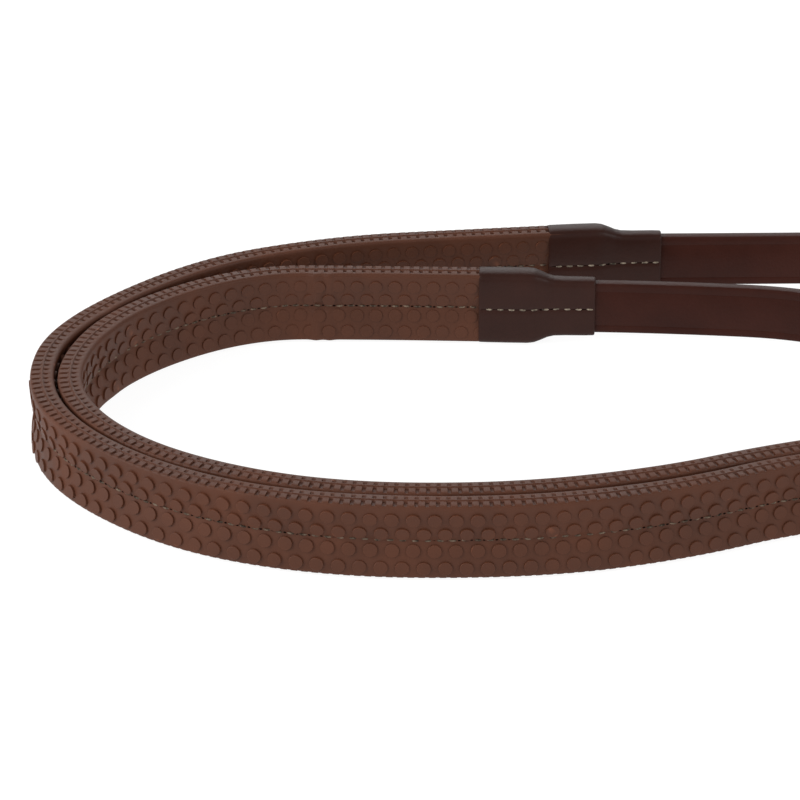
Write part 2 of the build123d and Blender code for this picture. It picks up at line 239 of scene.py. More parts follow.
def cut_out(piece, cutter):
    """Take one piece's shape away from another's and drop the cutter."""
    change = piece.modifiers.new("cut", "BOOLEAN")
    change.operation = "DIFFERENCE"
    change.solver = "EXACT"
    change.object = cutter
    bpy.context.view_layer.update()
    shape = piece.evaluated_get(bpy.context.evaluated_depsgraph_get())
    cut = bpy.data.meshes.new_from_object(shape)
    piece.modifiers.clear()
    old = piece.data
    piece.data = cut
    bpy.data.meshes.remove(old)
    bpy.data.objects.remove(cutter)
    piece.data.set_sharp_from_angle(angle=SHARP_EDGE)


# ---------------------------------------------------------------- outlines of sections


def face_outline(profile):
    """Close a section from one face's (up, half thickness) points, low to high."""
    up = np.array([point[0] for point in profile])
    half = np.array([point[1] for point in profile])
    right = np.stack([half, up], axis=1)
    left = np.stack([-half[::-1], up[::-1]], axis=1)
    return np.concatenate([right, left])


PRESSED_LINE_INSET = 2.6 * MM
PRESSED_LINE_HALF = 0.3 * MM
CORNER_TURNS = (80.0, 55.0, 30.0, 10.0, 0.0)


def strap_outline(thick, width, round_edge=0.8 * MM, crease=0.0):
    """A strap's section with rounded edges and, if asked, a pressed line inside each edge."""
    half, rise = thick / 2, width / 2
    corner = [
        (rise - round_edge + round_edge * math.sin(a), half - round_edge + round_edge * math.cos(a))
        for a in np.radians(CORNER_TURNS)
    ]
    line_up = rise - PRESSED_LINE_INSET
    pressed = [
        (line_up + PRESSED_LINE_HALF, half),
        (line_up, half - crease),
        (line_up - PRESSED_LINE_HALF, half),
    ]
    upper = (corner + (pressed if crease else []))[::-1]
    lower = [(-up, half_here) for up, half_here in upper[::-1]]
    return face_outline(lower + upper)


# ---------------------------------------------------------------- materials


def new_material(name, gloss=0.5):
    """A material with its nodes, links, shader and the object's own coordinates."""
    material = bpy.data.materials.new(name)
    material.use_nodes = True
    nodes, links = material.node_tree.nodes, material.node_tree.links
    shader = nodes["Principled BSDF"]
    shader.inputs["Specular IOR Level"].default_value = gloss
    place = nodes.new("ShaderNodeTexCoord")
    return material, nodes, links, shader, place.outputs["Object"]


def noise(nodes, links, place, scale, detail=4.0, roughness=0.55):
    """Cloudy noise from 0 to 1, mostly between 0.3 and 0.7."""
    texture = nodes.new("ShaderNodeTexNoise")
    texture.inputs["Scale"].default_value = scale
    texture.inputs["Detail"].default_value = detail
    texture.inputs["Roughness"].default_value = roughness
    links.new(place, texture.inputs["Vector"])
    return texture.outputs["Fac"]


def ramp(nodes, links, value, stops):
    """Colours for a value, from (position, colour) stops."""
    made = nodes.new("ShaderNodeValToRGB")
    made.color_ramp.elements[0].position, made.color_ramp.elements[0].color = stops[0]
    made.color_ramp.elements[1].position, made.color_ramp.elements[1].color = stops[-1]
    for position, colour in stops[1:-1]:
        made.color_ramp.elements.new(position).color = colour
    links.new(value, made.inputs["Fac"])
    return made.outputs["Color"]


NOISE_LOW, NOISE_HIGH = 0.3, 0.7


def span(nodes, links, value, low, high):
    """Bring noise into a new range."""
    made = nodes.new("ShaderNodeMapRange")
    made.inputs["From Min"].default_value = NOISE_LOW
    made.inputs["From Max"].default_value = NOISE_HIGH
    made.inputs["To Min"].default_value = low
    made.inputs["To Max"].default_value = high
    links.new(value, made.inputs["Value"])
    return made.outputs["Result"]


def bump(nodes, links, shader, layers):
    """Stack bumps of (height, distance, strength) on a shader."""
    under = None
    for height, distance, strength in layers:
        made = nodes.new("ShaderNodeBump")
        made.inputs["Distance"].default_value = distance
        made.inputs["Strength"].default_value = strength
        links.new(height, made.inputs["Height"])
        if under:
            links.new(under, made.inputs["Normal"])
        under = made.outputs["Normal"]
    links.new(under, shader.inputs["Normal"])


# Painted highlight: where the surface is convex, its colour is turned pale.
RIM_LOW, RIM_HIGH = 0.54, 0.70  # the pointiness where the paling starts and is full


def paint_edge_highlight(nodes, links, colour, pale):
    """Paint a highlight along the raised edges of a shape, by turning its colour pale there."""
    shape = nodes.new("ShaderNodeNewGeometry")
    raised = nodes.new("ShaderNodeMapRange")
    raised.inputs["From Min"].default_value = RIM_LOW
    raised.inputs["From Max"].default_value = RIM_HIGH
    links.new(shape.outputs["Pointiness"], raised.inputs["Value"])
    mixed = nodes.new("ShaderNodeMix")
    mixed.data_type = "RGBA"
    mixed.inputs["B"].default_value = pale
    links.new(raised.outputs["Result"], mixed.inputs["Factor"])
    links.new(colour, mixed.inputs["A"])
    return mixed.outputs["Result"]


def shade(colour, factor):
    """A colour made darker or lighter, with its alpha."""
    return (*(channel * factor for channel in colour), 1.0)


def rubber_material():
    """Brown moulded rubber: matte, of uneven tone, with a painted highlight along its raised edges and a
    fine skin.
    """
    material, nodes, links, shader, place = new_material("grip_rubber", 0.22)
    colour = (0.074, 0.0240, 0.0112)
    patches = noise(nodes, links, place, 60.0)
    stops = [(0.3, shade(colour, 0.86)), (0.5, shade(colour, 1.0)), (0.7, shade(colour, 1.16))]
    # Painted highlight: the disc rims, bead edges and parting ridge are made paler, standing in for light
    # that catches them.
    edge_highlight = paint_edge_highlight(nodes, links, ramp(nodes, links, patches, stops), shade(colour, 1.9))
    links.new(edge_highlight, shader.inputs["Base Color"])
    grain = noise(nodes, links, place, 2600.0, 3.0)
    links.new(span(nodes, links, patches, 0.50, 0.64), shader.inputs["Roughness"])
    bump(nodes, links, shader, [(grain, 0.06 * MM, 0.35), (patches, 0.4 * MM, 0.2)])
    return material


def leather_material(name, colour, rough, grain_scale, polish):
    """Finished leather: small pebbled grain, uneven dye and a waxed surface."""
    material, nodes, links, shader, place = new_material(name, 0.10)
    clouds = noise(nodes, links, place, 45.0)
    stops = [(0.3, shade(colour, 0.80)), (0.5, shade(colour, 1.0)), (0.72, shade(colour, 1.25))]
    links.new(ramp(nodes, links, clouds, stops), shader.inputs["Base Color"])
    pebbles = nodes.new("ShaderNodeTexVoronoi")
    pebbles.inputs["Scale"].default_value = grain_scale
    links.new(place, pebbles.inputs["Vector"])
    fine = noise(nodes, links, place, 2200.0, 3.0)
    links.new(span(nodes, links, clouds, *rough), shader.inputs["Roughness"])
    shader.inputs["Coat Weight"].default_value = polish
    shader.inputs["Coat Roughness"].default_value = 0.32
    layers = [
        (pebbles.outputs["Distance"], 0.12 * MM, 0.5),
        (fine, 0.03 * MM, 0.4),
        (clouds, 0.5 * MM, 0.25),
    ]
    bump(nodes, links, shader, layers)
    return material


def thread_material(name, pale):
    """Waxed thread, twisted, with a little grime."""
    material, nodes, links, shader, place = new_material(name, 0.08)
    grime = noise(nodes, links, place, 700.0)
    stops = [(0.35, shade(pale, 0.12)), (0.5, shade(pale, 0.5)), (0.66, shade(pale, 1.0))]
    links.new(ramp(nodes, links, grime, stops), shader.inputs["Base Color"])
    shader.inputs["Roughness"].default_value = 0.7
    strands = noise(nodes, links, place, 5000.0, 2.0)
    bump(nodes, links, shader, [(strands, 0.08 * MM, 0.7)])
    return material


def hole_shade_material():
    """Painted shade for the inside of a needle hole: a near-black colour that varies a little."""
    material, nodes, links, shader, place = new_material("needle_hole_painted_shade", 0.0)
    shade_speckle = noise(nodes, links, place, 900.0)
    stops = [(0.3, (0.004, 0.002, 0.0015, 1.0)), (0.7, (0.012, 0.006, 0.004, 1.0))]
    links.new(ramp(nodes, links, shade_speckle, stops), shader.inputs["Base Color"])
    shader.inputs["Roughness"].default_value = 0.9
    return material


def steel_material():
    """Polished stainless steel with fine hairlines and faint smears."""
    material, nodes, links, shader, place = new_material("polished_steel")
    shader.inputs["Metallic"].default_value = 1.0
    smears = noise(nodes, links, place, 160.0)
    stops = [(0.3, (0.52, 0.51, 0.49, 1.0)), (0.7, (0.66, 0.65, 0.63, 1.0))]
    links.new(ramp(nodes, links, smears, stops), shader.inputs["Base Color"])
    links.new(span(nodes, links, smears, 0.10, 0.24), shader.inputs["Roughness"])
    hairs = noise(nodes, links, place, 3000.0, 2.0)
    bump(nodes, links, shader, [(hairs, 0.01 * MM, 0.2)])
    return material


RUBBER = rubber_material()
STRAP_LEATHER = leather_material("rein_leather", (0.032, 0.0080, 0.0048), (0.38, 0.52), 900.0, 0.02)
SLEEVE_LEATHER = leather_material("sleeve_leather", (0.027, 0.0085, 0.0055), (0.40, 0.54), 700.0, 0.12)
THREAD = thread_material("sleeve_thread", (0.36, 0.29, 0.22))
SEAM_THREAD = thread_material("seam_thread", (0.20, 0.145, 0.105))
# Near-black painted shade, put in the needle holes of every thread.
HOLE_SHADE = hole_shade_material()
STEEL = steel_material()


# ---------------------------------------------------------------- the rubber grips

# One face of the rubber: distance up from the middle, and half the thickness there, in
# millimetres. It is sunk at the seam, slants out where the discs are, and a fuller bead runs
# along each edge with a fine parting ridge on top.
UPPER_HALF = [
    (0.0, 1.97), (0.35, 2.02), (0.9, 2.18), (1.6, 2.36), (3.0, 2.64), (4.6, 2.90),
    (6.2, 3.10), (7.8, 3.24), (8.8, 3.34), (9.4, 3.42), (10.0, 3.48), (10.5, 3.46),
    (10.85, 3.34), (11.08, 3.10), (11.22, 2.80), (11.30, 2.4), (11.34, 1.9), (11.36, 1.35),
    (11.37, 0.85), (11.37, 0.6), (11.38, 0.32), (11.56, 0.24), (11.62, 0.12),
]
LOWER_HALF = [
    (0.35, 2.02), (0.9, 2.18), (1.6, 2.38), (3.0, 2.66), (4.6, 2.92), (6.2, 3.12),
    (7.8, 3.24), (9.4, 3.26), (10.1, 3.28), (10.6, 3.26), (10.95, 3.16), (11.15, 2.97),
    (11.27, 2.7), (11.33, 2.4), (11.35, 1.9), (11.36, 1.35), (11.37, 0.85), (11.37, 0.6),
    (11.38, 0.26), (11.48, 0.16), (11.50, 0.06),
]
SLOT_LOW = 10.9 * MM  # only the flat tops of the beads have moulded slots
# Distances from the parting ridge over which the slots deepen, and fade on each face.
SLOT_START = (0.5 * MM, 0.75 * MM)
SLOT_END_OUTSIDE = (2.5 * MM, 3.3 * MM)
SLOT_END_INSIDE = (1.2 * MM, 2.2 * MM)
SLOT_DEPTH = 0.5 * MM
SLOT_PITCH = 2.9 * MM
SLOT_STATIONS = (0.0, 0.05, 0.22, 0.36, 0.41, 0.61, 0.80)  # shares of a pitch
SLOT_FLOOR = (0.05, 0.36)
SHARE_ROUNDING = 0.01
DISC_PITCH = 5.8 * MM
DISC_RADIUS = 1.93 * MM
DISC_PROUD = 0.55 * MM
DISC_SIDES = 20
DISC_RINGS = ((1.0, -0.9), (1.0, 0.86), (0.955, 1.0), (0.86, 1.0), (0.80, 1.0))  # radius, height
DISC_STRAY = 0.04 * MM
DISC_LEAN = 0.02
DISC_WIDTH_VARIES, DISC_HEIGHT_VARIES = 0.012, 0.07
DISC_REACH = 1.5 * MM  # how far from a disc's middle the rubber's slope is read
RIDGE_POINTS = 3  # the points of the profile that make the parting ridge
GRIP_START = 2.0 * MM  # the rubber of the model starts this far inside its real end
SWELL_WAVES = ((9.0 * MM, 0.018), (31.0 * MM, 0.020))  # length for each radian, and share of the thickness
WORN_LOSS = 0.62  # the hand has worn the discs down near its end of the grip
WORN_STRETCH = (45.0 * MM, 110.0 * MM)
DISC_ROWS = (-8.0 * MM, -2.95 * MM, 2.25 * MM, 6.85 * MM)

# Old folds in the rubber: distance along the rein, face, width and height.
CREASES = {
    "left": [(560.0 * MM, 1.0, 3.0 * MM, 0.25 * MM), (905.0 * MM, -1.0, 4.0 * MM, 0.2 * MM)],
    "right": [
        (437.9 * MM, 1.0, 1.5 * MM, 0.55 * MM), (442.1 * MM, 1.0, 1.6 * MM, 0.6 * MM),
        (520.0 * MM, 1.0, 5.0 * MM, 0.25 * MM), (950.0 * MM, -1.0, 4.0 * MM, 0.2 * MM),
    ],
}


def grip_profile():
    """The whole face from the lower edge to the upper one, as arrays of up and half."""
    upper = [(up * MM, half * MM) for up, half in UPPER_HALF]
    lower = [(-up * MM, half * MM) for up, half in LOWER_HALF[::-1]]
    up, half = np.array(lower + upper).T
    return up, half


def swelling(along, phase):
    """A slow unevenness of the rubber's thickness along the rein."""
    waves = enumerate(SWELL_WAVES, 1)
    return sum(size * np.sin(along / length + turn * phase) for turn, (length, size) in waves)


def crease(side, along, face):
    """How far the rubber stands up on one face where the rein has been folded."""
    raised = 0.0 * along
    for at, on_face, width, size in CREASES[side]:
        raised = raised + size * np.exp(-(((along - at) / width) ** 2)) * (face == on_face)
    return raised


def grip_body(side, path, start, stop, phase):
    """The moulded rubber without its discs."""
    up, half = grip_profile()
    count = int((stop - start) / SLOT_PITCH)
    shares = (np.arange(count)[:, None] + np.array(SLOT_STATIONS)).ravel()
    stations = start + shares * SLOT_PITCH
    share = shares % 1.0
    low, high = SLOT_FLOOR
    in_slot = (share >= low - SHARE_ROUNDING) & (share <= high + SHARE_ROUNDING)
    outline = face_outline(list(zip(up, half)))
    slope = np.roll(outline, -1, 0) - np.roll(outline, 1, 0)
    outward = np.stack([slope[:, 1], -slope[:, 0]], axis=1)
    outward /= np.linalg.norm(outward, axis=1)[:, None]
    reach = np.abs(outline[:, 0])
    inside = np.where(outline[:, 0] > 0.0, 1.0, 0.0)
    fade_outside = (1.0 - inside) * smoothstep(*SLOT_END_OUTSIDE, reach)
    fade_inside = inside * smoothstep(*SLOT_END_INSIDE, reach)
    full = smoothstep(*SLOT_START, reach) * (1.0 - fade_outside - fade_inside)
    edge = full * (np.abs(outline[:, 1]) > SLOT_LOW)
    sunk = SLOT_DEPTH * in_slot[:, None] * edge[None, :]
    sections = outline[None] - sunk[..., None] * outward[None]
    sections[..., 0] *= 1.0 + swelling(stations, phase)[:, None]
    face = np.sign(outline[:, 0])
    folds = np.stack([crease(side, stations, way) for way in face], axis=1)
    sections[..., 0] += face * folds * (reach > SLOT_END_INSIDE[1])
    return sweep(path, stations, sections)


def disc_places(start, stop):
    """The discs of both faces: distances along, heights from the middle, and faces."""
    along, rise, face = [], [], []
    for way in (-1.0, 1.0):
        for number, row in enumerate(DISC_ROWS):
            first = start + DISC_PITCH * (0.5 * (number % 2) + 0.25)
            places = np.arange(first, stop - 0.2 * DISC_PITCH, DISC_PITCH)
            along.append(places)
            rise.append(np.full(len(places), row))
            face.append(np.full(len(places), way))
    return (np.concatenate(group) for group in (along, rise, face))


def grip_discs(side, path, start, stop, seed):
    """The raised discs that cover both faces, four rows to a face."""
    chance = np.random.default_rng(seed)
    up, half = (values[RIDGE_POINTS:-RIDGE_POINTS] for values in grip_profile())
    along, rise, face = disc_places(start, stop)
    along = along + chance.normal(0.0, DISC_STRAY, len(along))
    rise = rise + chance.normal(0.0, DISC_STRAY, len(along))
    place, ahead, aside = path.at(along)
    higher, lower = np.interp(rise + DISC_REACH, up, half), np.interp(rise - DISC_REACH, up, half)
    slope = (higher - lower) / (2 * DISC_REACH)
    out = face[:, None] * aside - slope[:, None] * UP
    out += chance.normal(0.0, DISC_LEAN, out.shape)
    out /= np.linalg.norm(out, axis=1)[:, None]
    across = np.cross(out, ahead)
    surface = np.interp(rise, up, half) + crease(side, along, face)
    base = place + (face * surface)[:, None] * aside + rise[:, None] * UP
    turn = np.arange(DISC_SIDES) * math.tau / DISC_SIDES
    size = DISC_RADIUS * chance.normal(1.0, DISC_WIDTH_VARIES, len(along))
    worn = WORN_LOSS * (1.0 - smoothstep(*WORN_STRETCH, along - start))
    proud = DISC_PROUD * (1.0 - worn) * chance.normal(1.0, DISC_HEIGHT_VARIES, len(along))
    layers = []
    for width, height in DISC_RINGS:
        flat = np.cos(turn)[None, :, None] * ahead[:, None] + np.sin(turn)[None, :, None] * across[:, None]
        lift = (proud * height)[:, None, None] * out[:, None]
        layers.append(base[:, None] + flat * (size * width)[:, None, None] + lift)
    points = np.stack(layers, axis=1).reshape(-1, 3)
    one = tube_faces(len(DISC_RINGS), DISC_SIDES)
    return points, repeated(one, len(DISC_RINGS) * DISC_SIDES, len(along))


def grip(side, path, start, seed):
    """One rubber grip: its moulded sleeve with ribbed edges, and its discs."""
    stop = start + GRIP_LENGTH
    hidden = SLEEVE_LENGTH - BARE_END - GRIP_START
    body = grip_body(side, path, start + GRIP_START, stop - GRIP_START, seed)
    discs = grip_discs(side, path, start + hidden, stop - hidden, seed)
    piece = make_mesh(side + "_rubber_skin", *joined([body, discs]))
    finish_piece(piece, RUBBER, stands_for=[side + "_rubber_grip"])


# ---------------------------------------------------------------- stitches

STITCH_PITCH = 3.4 * MM
STITCH_LENGTH = 2.4 * MM
STITCH_RADIUS = 0.30 * MM
STITCH_PROUD = 0.12 * MM
STITCH_LEAN = 0.06
STITCH_STRAY = 0.05 * MM
STITCH_SIDES = 8
STITCH_DIVE = 1.6  # how far a stitch's ends sink, in radii
STITCH_SHAPE = ((-1.0, 0.35), (-0.85, 0.8), (-0.45, 1.0), (0.0, 1.0), (0.45, 1.0), (0.85, 0.8), (1.0, 0.35))
NEEDLE_RADIUS = 0.5 * MM
SEAM_NEEDLE_RADIUS = 0.27 * MM
NEEDLE_OVAL = 1.5  # a needle hole's length in its widths
NEEDLE_DEEP, NEEDLE_PROUD = 0.3 * MM, 0.04 * MM


def capsules(centre, ahead, out, length, radius):
    """Short threads that arch out of a surface and dive back into it."""
    turn = np.arange(STITCH_SIDES) * math.tau / STITCH_SIDES
    across = np.cross(out, ahead)
    rings = []
    for share, width in STITCH_SHAPE:
        middle = centre + ahead * share * length / 2 - out * radius * STITCH_DIVE * share**2
        ring = np.cos(turn)[None, :, None] * across[:, None] + np.sin(turn)[None, :, None] * out[:, None]
        rings.append(middle[:, None] + ring * radius * width)
    points = np.stack(rings, axis=1).reshape(-1, 3)
    one = tube_faces(len(STITCH_SHAPE), STITCH_SIDES)
    return points, repeated(one, len(STITCH_SHAPE) * STITCH_SIDES, len(centre))


def pits(centre, ahead, out, radius):
    """Small ovals of painted shade where the needle went in."""
    turn = np.arange(STITCH_SIDES) * math.tau / STITCH_SIDES
    across = np.cross(out, ahead)
    long_way = np.cos(turn)[None, :, None] * ahead[:, None] * NEEDLE_OVAL
    rim = long_way + np.sin(turn)[None, :, None] * across[:, None]
    low = centre[:, None] + rim * radius - out[:, None] * NEEDLE_DEEP
    high = centre[:, None] + rim * radius + out[:, None] * NEEDLE_PROUD
    points = np.stack([low, high], axis=1).reshape(-1, 3)
    return points, repeated(tube_faces(2, STITCH_SIDES), 2 * STITCH_SIDES, len(centre))


def stitch_row(path, start, stop, aside, rise, seed, needle=NEEDLE_RADIUS):
    """Stitches, and the painted shade of the needle holes, along one row. aside may be a function of the
    distance.
    """
    chance = np.random.default_rng(seed)
    along = np.arange(start, stop, STITCH_PITCH) + STITCH_PITCH / 2
    side = math.copysign(1.0, aside(start) if callable(aside) else aside)
    far = np.array([aside(s) for s in along]) if callable(aside) else np.full(len(along), aside)
    place, ahead, left = path.at(along)
    out = side * left
    lean = chance.normal(0.0, STITCH_LEAN, len(along))
    ahead_here = ahead + lean[:, None] * UP
    ahead_here /= np.linalg.norm(ahead_here, axis=1)[:, None]
    height = rise + chance.normal(0.0, STITCH_STRAY, len(along))
    centre = place + far[:, None] * left + height[:, None] * UP
    threads = capsules(centre + out * STITCH_PROUD, ahead_here, out, STITCH_LENGTH, STITCH_RADIUS)
    between = along + STITCH_PITCH / 2
    place, ahead, left = path.at(between)
    far = np.array([aside(s) for s in between]) if callable(aside) else np.full(len(along), aside)
    centre = place + far[:, None] * left + height[:, None] * UP
    return threads, pits(centre, ahead, side * left, needle)


def thread_piece(name, rows, node, material=THREAD):
    """All the rows of one thread, with the painted shade of their needle holes, as one piece."""
    threads = joined([row[0] for row in rows])
    holes = joined([row[1] for row in rows])
    points, faces = joined([threads, holes])
    piece = make_mesh(name, points, faces, THREAD_EDGE)
    finish_piece(piece, material, stands_for=[node])
    piece.data.materials.append(HOLE_SHADE)
    # The needle-hole ovals get the painted shade material.
    painted_shade_faces = np.zeros(len(faces), np.int32)
    painted_shade_faces[len(threads[1]):] = 1
    piece.data.polygons.foreach_set("material_index", painted_shade_faces)


def grip_thread(side, path, start, seed):
    """The seam of the rubber, sewn through the sunk line on both faces."""
    hidden = SLEEVE_LENGTH - BARE_END
    deep = UPPER_HALF[0][1] * MM
    first, last = start + hidden, start + GRIP_LENGTH - hidden
    rows = [
        stitch_row(path, first, last, way * deep, 0.0, seed + way, SEAM_NEEDLE_RADIUS)
        for way in (-1, 1)
    ]
    thread_piece(side + "_seam_stitches", rows, side + "_seam_thread", SEAM_THREAD)


# ---------------------------------------------------------------- the end sleeves

# A sleeve's shape from its narrow end, in millimetres: distance, half its width, and half
# its thickness. The ends turn in to the strap and to the rubber.
SLEEVE_SHAPE = [
    (0.0, 8.5, 2.15), (0.05, 9.0, 2.5), (0.35, 9.35, 2.75), (3.0, 9.45, 2.85),
    (9.0, 9.45, 2.9), (12.5, 9.6, 2.95), (14.5, 10.1, 3.15), (16.5, 11.0, 3.5),
    (18.5, 11.75, 3.85), (20.5, 12.0, 4.0), (27.0, 12.0, 4.0), (33.0, 11.95, 3.98),
    (35.0, 11.9, 4.0), (35.4, 11.8, 3.9), (35.5, 11.5, 3.6),
]
SLEEVE_STATIONS = 90
SLEEVE_NEAR_RIM = (0.0, 0.05, 0.2, 0.35)
SLEEVE_FAR_RIM = (0.35, 0.2, 0.1, 0.0)
SLEEVE_RIM_LENGTH = 0.7 * MM
SLEEVE_SINK = 0.88  # the sewn middle of a sleeve, as a share of its half thickness
SLEEVE_FULLNESS = (
    (0.0, SLEEVE_SINK), (0.03, 0.92), (0.07, 0.96), (0.15, 0.985), (0.35, 1.0), (0.60, 1.0),
    (0.76, 0.985), (0.83, 0.955), (0.89, 0.90), (0.94, 0.79), (0.975, 0.60), (0.993, 0.34), (1.0, 0.12),
)
PUCKER_SIZE, PUCKER_WAVE, PUCKER_END = 0.012, 1.9 * MM, 20.0 * MM


def sleeve_size(distance):
    """Half the width and half the thickness at a distance from the narrow end."""
    table = np.array(SLEEVE_SHAPE) * MM
    return tuple(np.interp(distance, table[:, 0], column) for column in table[:, 1:].T)


def sleeve_section(rise, half):
    """A soft oblong with full corners, sunk a little along its sewn middle."""
    upper = [(share * rise, fullness * half) for share, fullness in SLEEVE_FULLNESS]
    lower = [(-up, thick) for up, thick in upper[:0:-1]]
    return face_outline(lower + upper)


def sleeve(side, end_name, path, end, towards, seed):
    """A leather sleeve over one end of the rubber, and its row of stitches."""
    near = np.array(SLEEVE_NEAR_RIM) * MM
    middle = np.linspace(SLEEVE_RIM_LENGTH, SLEEVE_LENGTH - SLEEVE_RIM_LENGTH, SLEEVE_STATIONS)
    far = SLEEVE_LENGTH - np.array(SLEEVE_FAR_RIM) * MM
    distance = np.concatenate([near, middle, far])
    sections = []
    for here in distance:
        rise, half = sleeve_size(here)
        pucker = 1.0 + PUCKER_SIZE * math.sin(here / PUCKER_WAVE + seed) * (here < PUCKER_END)
        sections.append(sleeve_section(rise, half * pucker))
    stations = end + towards * distance
    points, faces = sweep(path, stations, np.array(sections))
    name = side + "_" + end_name
    piece = make_mesh(name + "_leather", points, faces, SOFT_EDGE)
    finish_piece(piece, SLEEVE_LEATHER, stands_for=[name])

    def surface(way):
        return lambda along: way * SLEEVE_SINK * sleeve_size(abs(along - end))[1]

    low, high = sorted((end, end + towards * SLEEVE_LENGTH))
    return [stitch_row(path, low, high - STITCH_PITCH, surface(way), 0.0, seed + way) for way in (-1, 1)]


# ---------------------------------------------------------------- straps


STRAP_STEP = 2.0 * MM
PRESSED_LINE_DEEP = 0.13 * MM
POINT_STATIONS = 12
POINT_BLUNT = 0.05  # the turn, in radians, at which the rounded point starts
POINT_NARROWS = 0.96


def strap(side, path, pointed):
    """One leather strap, swept along its path at its real length."""
    stations = spaced(0.0, path.length, STRAP_STEP)
    if pointed:
        tip = POINT_ROUND * (1.0 - np.cos(np.linspace(POINT_BLUNT, math.pi / 2, POINT_STATIONS)))
        stations = np.concatenate([tip, stations[stations > POINT_ROUND + MM]])
    outline = strap_outline(STRAP_THICK, STRAP_WIDTH, crease=PRESSED_LINE_DEEP)
    sections = np.repeat(outline[None], len(stations), axis=0)
    if pointed:
        inside = np.clip(1.0 - stations / POINT_ROUND, 0.0, 1.0)
        sections[..., 1] *= np.sqrt(1.0 - POINT_NARROWS * inside**2)[:, None]
    piece = make_mesh(side + "_strap_leather", *sweep(path, stations, sections))
    if pointed:
        cut_out(piece, hole_cutter(path))
    finish_piece(piece, STRAP_LEATHER, stands_for=[side + "_rein_strap"])
    start = path.at(0.0)[0][0]


def oval(path, along, length, height, depth, middle=0.0, sides=20):
    """A bar with an oval section that passes through a strap."""
    place, ahead, left = path.at(along)
    place = place + middle * left
    turn = np.arange(sides) * math.tau / sides
    straight = (length - height) / 2
    x = np.cos(turn) * height / 2 + np.sign(np.cos(turn)) * straight
    z = np.sin(turn) * height / 2
    rim = place[0] + x[:, None] * ahead[0] + z[:, None] * UP
    points = np.concatenate([rim - left[0] * depth / 2, rim + left[0] * depth / 2])
    return points, tube_faces(2, sides)


def hole_cutter(path):
    """The five oval holes of the point, the middle one in use."""
    bars = [
        oval(path, HOLE_FIRST + step * HOLE_PITCH, HOLE_LENGTH, HOLE_HEIGHT, 3 * STRAP_THICK)
        for step in (-2, -1, 0, 1, 2)
    ]
    return make_mesh("holes", *joined(bars))


# ---------------------------------------------------------------- keepers


LOOP_AIR = 0.3 * MM
LOOP_CORNER = 1.6 * MM
LOOP_SOFT = 0.5 * MM


def keeper(name, path, start, length, inner, outer, wall, body=ROOT):
    """A leather loop with soft corners round a stack of straps."""
    rise = STRAP_WIDTH / 2 + LOOP_AIR + wall / 2
    low, high = inner - wall / 2, outer + wall / 2
    corner = LOOP_CORNER
    ring = []
    for x, z, first in (
        (high - corner, rise - corner, 0.0), (low + corner, rise - corner, 90.0),
        (low + corner, corner - rise, 180.0), (high - corner, corner - rise, 270.0),
    ):
        for turn in np.radians(first + np.array([0.0, 22.5, 45.0, 67.5, 90.0])):
            ring.append((x + corner * math.cos(turn), z + corner * math.sin(turn), turn))
    ring = np.array(ring)
    out = np.stack([np.cos(ring[:, 2]), np.sin(ring[:, 2])], axis=1)
    half, thin = length / 2, wall / 2
    soft = LOOP_SOFT
    band = [
        (-half, -thin + soft), (-half + soft, -thin), (half - soft, -thin), (half, -thin + soft),
        (half, thin - soft), (half - soft, thin), (-half + soft, thin), (-half, thin - soft),
    ]
    rows = []
    for run, lift in band:
        place, _, left = path.at(start + half + run)
        flat = ring[:, :2] + lift * out
        rows.append(place[0] + flat[:, :1] * left[0] + flat[:, 1:] * UP)
    points = np.stack(rows).reshape(-1, 3)
    grid = np.arange(len(points)).reshape(len(band), len(ring))
    here, ahead = grid, np.roll(grid, -1, 0)
    quads = np.stack([here, np.roll(here, -1, 1), np.roll(ahead, -1, 1), ahead], axis=-1)
    piece = make_mesh(name + "_leather", points, quads.reshape(-1, 4).tolist(), SOFT_EDGE)
    finish_piece(piece, STRAP_LEATHER, body, [name])


# ---------------------------------------------------------------- the bit ends


BILLET_STEP = 1.2 * MM
NECK_POINTS = 7
TAIL_STATIONS = 10
TAIL_BLUNT = 0.12  # the turn, in radians, at which the rounded tail ends
TAIL_NARROWS = 0.97
ROW_INSET = 2.2 * MM  # from a strap's edge to its row of stitches
BILLET_ROW_START, BILLET_ROW_END = 3.0 * MM, 6.0 * MM
CHAPE_ROW_START, CHAPE_ROW_END = 2.0 * MM, 3.0 * MM


def bit_loop_line(path):
    """The middle line of the leather from the backing round the bit ring to the tail."""
    end, ahead, left = (row[0] for row in path.at(path.length))
    backing = (STRAP_THICK + BILLET_THICK) / 2
    tail = backing + TAIL_AIR
    spread = (2 * BIT_LOOP_RADIUS - backing - tail) / 2
    lean = math.acos(1 - spread / (2 * BIT_LOOP_NECK))
    turns = np.linspace(0.0, lean, NECK_POINTS)[1:]
    neck_x = BIT_LOOP_NECK * np.sin(turns)
    neck_y = BIT_LOOP_NECK * (1 - np.cos(turns))
    there = [(x, backing + y) for x, y in zip(neck_x, neck_y)]
    reach, top = 2 * neck_x[-1], backing + spread
    there += [(reach - x, top - y) for x, y in zip(neck_x[-2::-1], neck_y[-2::-1])]
    round_ring = np.linspace(math.pi / 2, -math.pi / 2, ARC_POINTS)
    centre = top - BIT_LOOP_RADIUS
    there += [
        (reach + BIT_LOOP_RADIUS * math.cos(a), centre + BIT_LOOP_RADIUS * math.sin(a))
        for a in round_ring
    ]
    low = centre - BIT_LOOP_RADIUS
    there += [(reach - x, low + y) for x, y in zip(neck_x, neck_y)]
    there += [(x, -tail - y) for x, y in zip(neck_x[-2::-1], neck_y[-2::-1])]
    back = path.beside(path.length - BILLET_BACKING, path.length, backing)
    forth = path.beside(path.length, path.length - BILLET_TAIL, -tail)
    loop = np.array([end + x * ahead + y * left for x, y in there])
    return Path(np.concatenate([back, loop, forth]))


